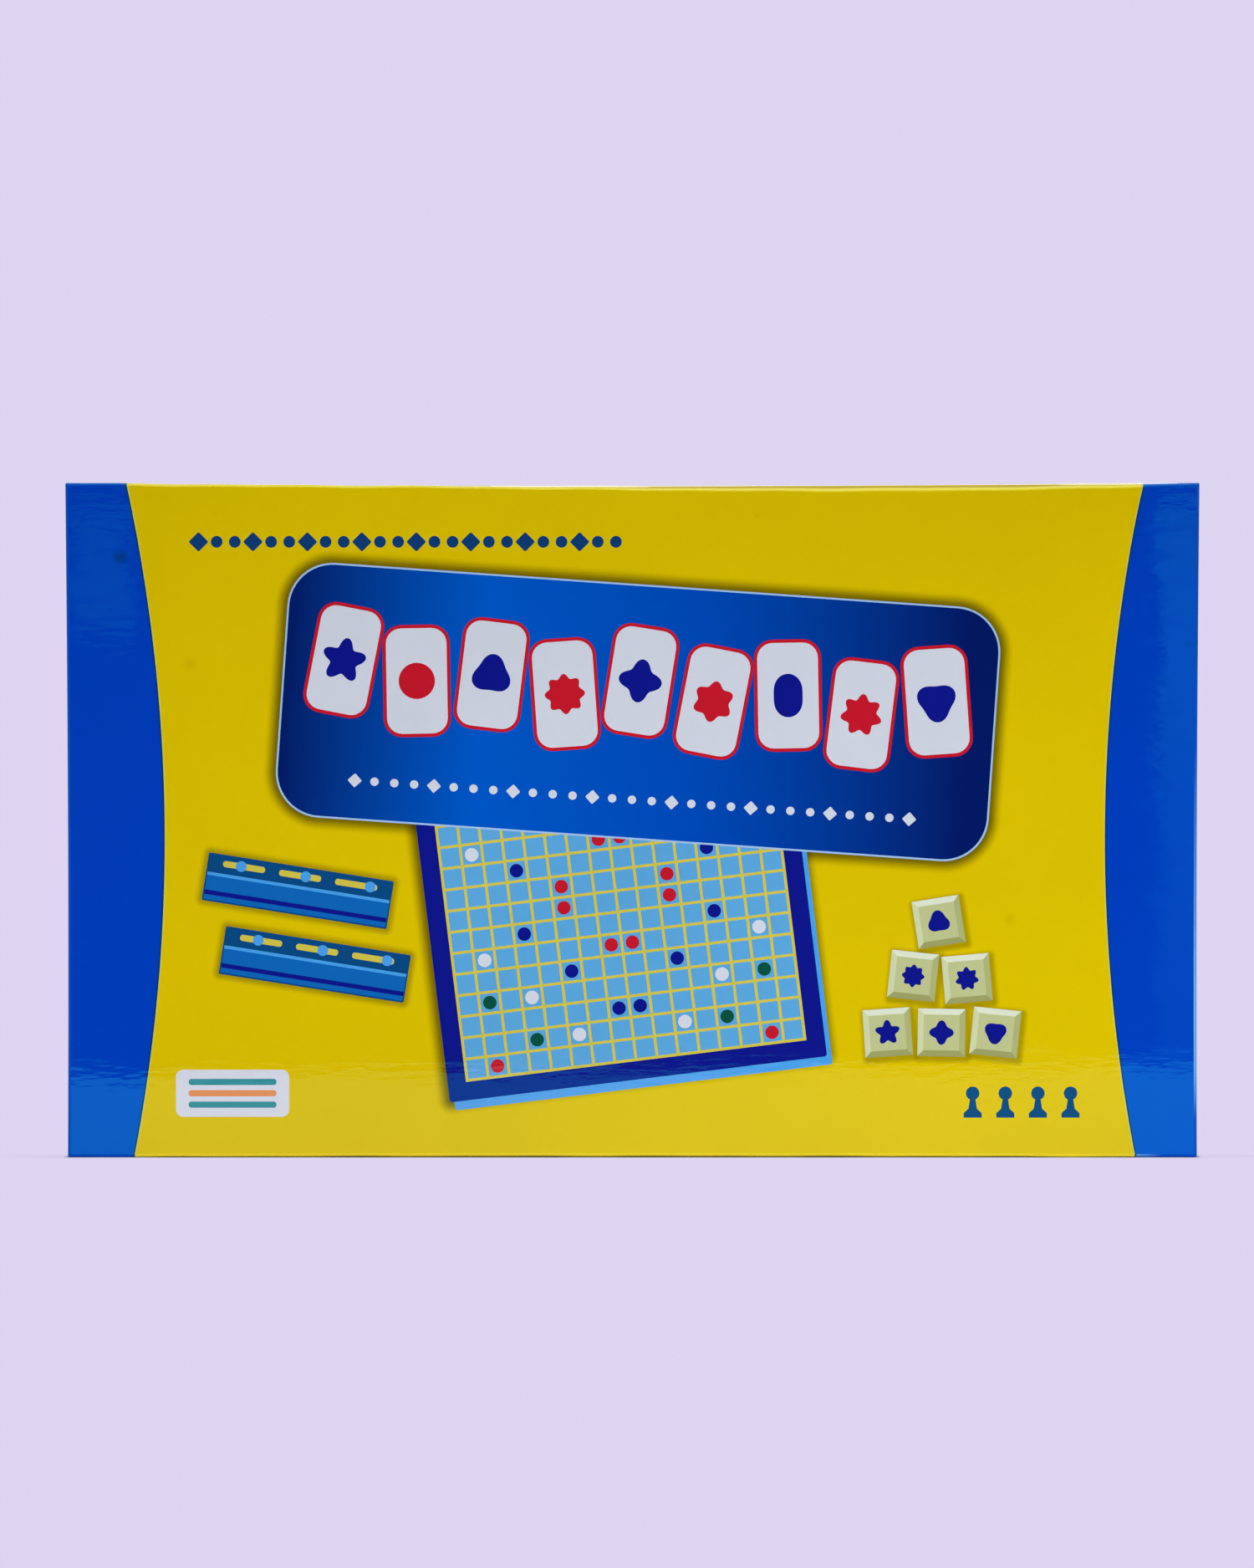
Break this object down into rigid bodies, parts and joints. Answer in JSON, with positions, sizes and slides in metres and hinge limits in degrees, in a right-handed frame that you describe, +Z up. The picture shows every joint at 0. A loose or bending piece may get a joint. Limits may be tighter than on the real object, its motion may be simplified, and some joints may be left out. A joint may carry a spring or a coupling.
{
  "type": "boxed word board game",
  "caption": "Boxed word board game: a telescoping card lid and base holding a folding board, letter tiles in wells, tile racks with sliding score pointers and a rules leaflet.",
  "frame": {"origin": "on the floor under the middle of the box, which stands on its lower long wall", "axes": "+X along the box to the right of its face, +Y from the lid's printed face to the base's back, +Z up"},
  "size_m": [0.4, 0.045, 0.238],
  "materials": {
    "lid_print": "gloss laminated print, yellow with blue ends",
    "base_print": "gloss laminated print, plain blue",
    "greyboard": "raw grey board",
    "board_print": "satin laminated print, light blue grid",
    "board_backing": "plain navy embossed paper",
    "hinge_cloth": "navy book cloth",
    "leaflet_paper": "uncoated white paper",
    "tray_plastic": "formed white polystyrene sheet",
    "rack_plastic": "moulded blue polystyrene",
    "pointer_plastic": "moulded light blue plastic",
    "tile_plastic": "moulded cream plastic"
  },
  "bodies": {
    "base": {"base_board": "greyboard", "base_wrap": "base_print", "rack_tray": "tray_plastic", "tile_tray": "tray_plastic"},
    "lid": {"lid_board": "greyboard", "lid_wrap": "lid_print"},
    "board_rear": {"board_core_rear": "greyboard", "board_face_rear": "board_print", "board_back_rear": "board_backing", "board_hinge": "hinge_cloth"},
    "board_front": {"board_core_front": "greyboard", "board_face_front": "board_print", "board_back_front": "board_backing"},
    "leaflet": {"rules_leaflet": "leaflet_paper"},
    "tiles": {"tiles_a": "tile_plastic", "tiles_b": "tile_plastic", "tiles_c": "tile_plastic", "tiles_d": "tile_plastic", "tiles_e": "tile_plastic", "tiles_f": "tile_plastic", "tiles_g": "tile_plastic", "tiles_h": "tile_plastic", "tiles_i": "tile_plastic", "tiles_j": "tile_plastic", "tiles_k": "tile_plastic", "tiles_l": "tile_plastic", "tiles_m": "tile_plastic", "tiles_n": "tile_plastic", "tiles_o": "tile_plastic", "tiles_p": "tile_plastic", "tiles_q": "tile_plastic", "tiles_r": "tile_plastic", "tiles_s": "tile_plastic", "tiles_t": "tile_plastic", "tiles_u": "tile_plastic", "tiles_v": "tile_plastic", "tiles_w": "tile_plastic", "tiles_x": "tile_plastic", "tiles_y": "tile_plastic", "tiles_z": "tile_plastic", "tiles_blank": "tile_plastic"},
    "rack_1": {"rack_1": "rack_plastic"},
    "rack_2": {"rack_2": "rack_plastic"},
    "rack_3": {"rack_3": "rack_plastic"},
    "rack_4": {"rack_4": "rack_plastic"},
    "pointer_1_hundreds": {"pointer_1_hundreds": "pointer_plastic"},
    "pointer_1_tens": {"pointer_1_tens": "pointer_plastic"},
    "pointer_1_units": {"pointer_1_units": "pointer_plastic"},
    "pointer_2_hundreds": {"pointer_2_hundreds": "pointer_plastic"},
    "pointer_2_tens": {"pointer_2_tens": "pointer_plastic"},
    "pointer_2_units": {"pointer_2_units": "pointer_plastic"},
    "pointer_3_hundreds": {"pointer_3_hundreds": "pointer_plastic"},
    "pointer_3_tens": {"pointer_3_tens": "pointer_plastic"},
    "pointer_3_units": {"pointer_3_units": "pointer_plastic"},
    "pointer_4_hundreds": {"pointer_4_hundreds": "pointer_plastic"},
    "pointer_4_tens": {"pointer_4_tens": "pointer_plastic"},
    "pointer_4_units": {"pointer_4_units": "pointer_plastic"}
  },
  "joints": [
    {"name": "lid_pull", "type": "slide", "parent": "base", "child": "lid", "axis": [0, -1, 0], "range_m": [0, 0.75]},
    {"name": "board_lift", "type": "slide", "parent": "base", "child": "board_rear", "axis": [0, -1, 0], "range_m": [0, 0.15]},
    {"name": "leaflet_lift", "type": "slide", "parent": "base", "child": "leaflet", "axis": [0, -1, 0], "range_m": [0, 0.1125]},
    {"name": "tiles_lift", "type": "slide", "parent": "base", "child": "tiles", "axis": [0, -1, 0], "range_m": [0, 0.045]},
    {"name": "rack_1_lift", "type": "slide", "parent": "base", "child": "rack_1", "axis": [0, -1, 0], "range_m": [0, 0.075]},
    {"name": "rack_2_lift", "type": "slide", "parent": "base", "child": "rack_2", "axis": [0, -1, 0], "range_m": [0, 0.075]},
    {"name": "rack_3_lift", "type": "slide", "parent": "base", "child": "rack_3", "axis": [0, -1, 0], "range_m": [0, 0.075]},
    {"name": "rack_4_lift", "type": "slide", "parent": "base", "child": "rack_4", "axis": [0, -1, 0], "range_m": [0, 0.075]},
    {"name": "board_fold", "type": "hinge", "parent": "board_rear", "child": "board_front", "pos_m": [0, -0.0182, 0.1927], "axis": [-1, 0, 0], "range_deg": [0, 180]},
    {"name": "pointer_1_hundreds_slide", "type": "slide", "parent": "rack_1", "child": "pointer_1_hundreds", "axis": [1, 0, 0], "range_m": [0, 0.0405]},
    {"name": "pointer_1_tens_slide", "type": "slide", "parent": "rack_1", "child": "pointer_1_tens", "axis": [1, 0, 0], "range_m": [0, 0.0405]},
    {"name": "pointer_1_units_slide", "type": "slide", "parent": "rack_1", "child": "pointer_1_units", "axis": [1, 0, 0], "range_m": [0, 0.0405]},
    {"name": "pointer_2_hundreds_slide", "type": "slide", "parent": "rack_2", "child": "pointer_2_hundreds", "axis": [1, 0, 0], "range_m": [0, 0.0405]},
    {"name": "pointer_2_tens_slide", "type": "slide", "parent": "rack_2", "child": "pointer_2_tens", "axis": [1, 0, 0], "range_m": [0, 0.0405]},
    {"name": "pointer_2_units_slide", "type": "slide", "parent": "rack_2", "child": "pointer_2_units", "axis": [1, 0, 0], "range_m": [0, 0.0405]},
    {"name": "pointer_3_hundreds_slide", "type": "slide", "parent": "rack_3", "child": "pointer_3_hundreds", "axis": [1, 0, 0], "range_m": [0, 0.0405]},
    {"name": "pointer_3_tens_slide", "type": "slide", "parent": "rack_3", "child": "pointer_3_tens", "axis": [1, 0, 0], "range_m": [0, 0.0405]},
    {"name": "pointer_3_units_slide", "type": "slide", "parent": "rack_3", "child": "pointer_3_units", "axis": [1, 0, 0], "range_m": [0, 0.0405]},
    {"name": "pointer_4_hundreds_slide", "type": "slide", "parent": "rack_4", "child": "pointer_4_hundreds", "axis": [1, 0, 0], "range_m": [0, 0.0405]},
    {"name": "pointer_4_tens_slide", "type": "slide", "parent": "rack_4", "child": "pointer_4_tens", "axis": [1, 0, 0], "range_m": [0, 0.0405]},
    {"name": "pointer_4_units_slide", "type": "slide", "parent": "rack_4", "child": "pointer_4_units", "axis": [1, 0, 0], "range_m": [0, 0.0405]}
  ],
  "couplings": [
    {"joint": "board_lift", "follows": "lid_pull", "ratio": 0.2},
    {"joint": "leaflet_lift", "follows": "lid_pull", "ratio": 0.15},
    {"joint": "tiles_lift", "follows": "lid_pull", "ratio": 0.06},
    {"joint": "rack_1_lift", "follows": "lid_pull", "ratio": 0.1},
    {"joint": "rack_2_lift", "follows": "lid_pull", "ratio": 0.1},
    {"joint": "rack_3_lift", "follows": "lid_pull", "ratio": 0.1},
    {"joint": "rack_4_lift", "follows": "lid_pull", "ratio": 0.1},
    {"joint": "board_fold", "follows": "lid_pull", "rad_per_m": 4.1887}
  ]
}
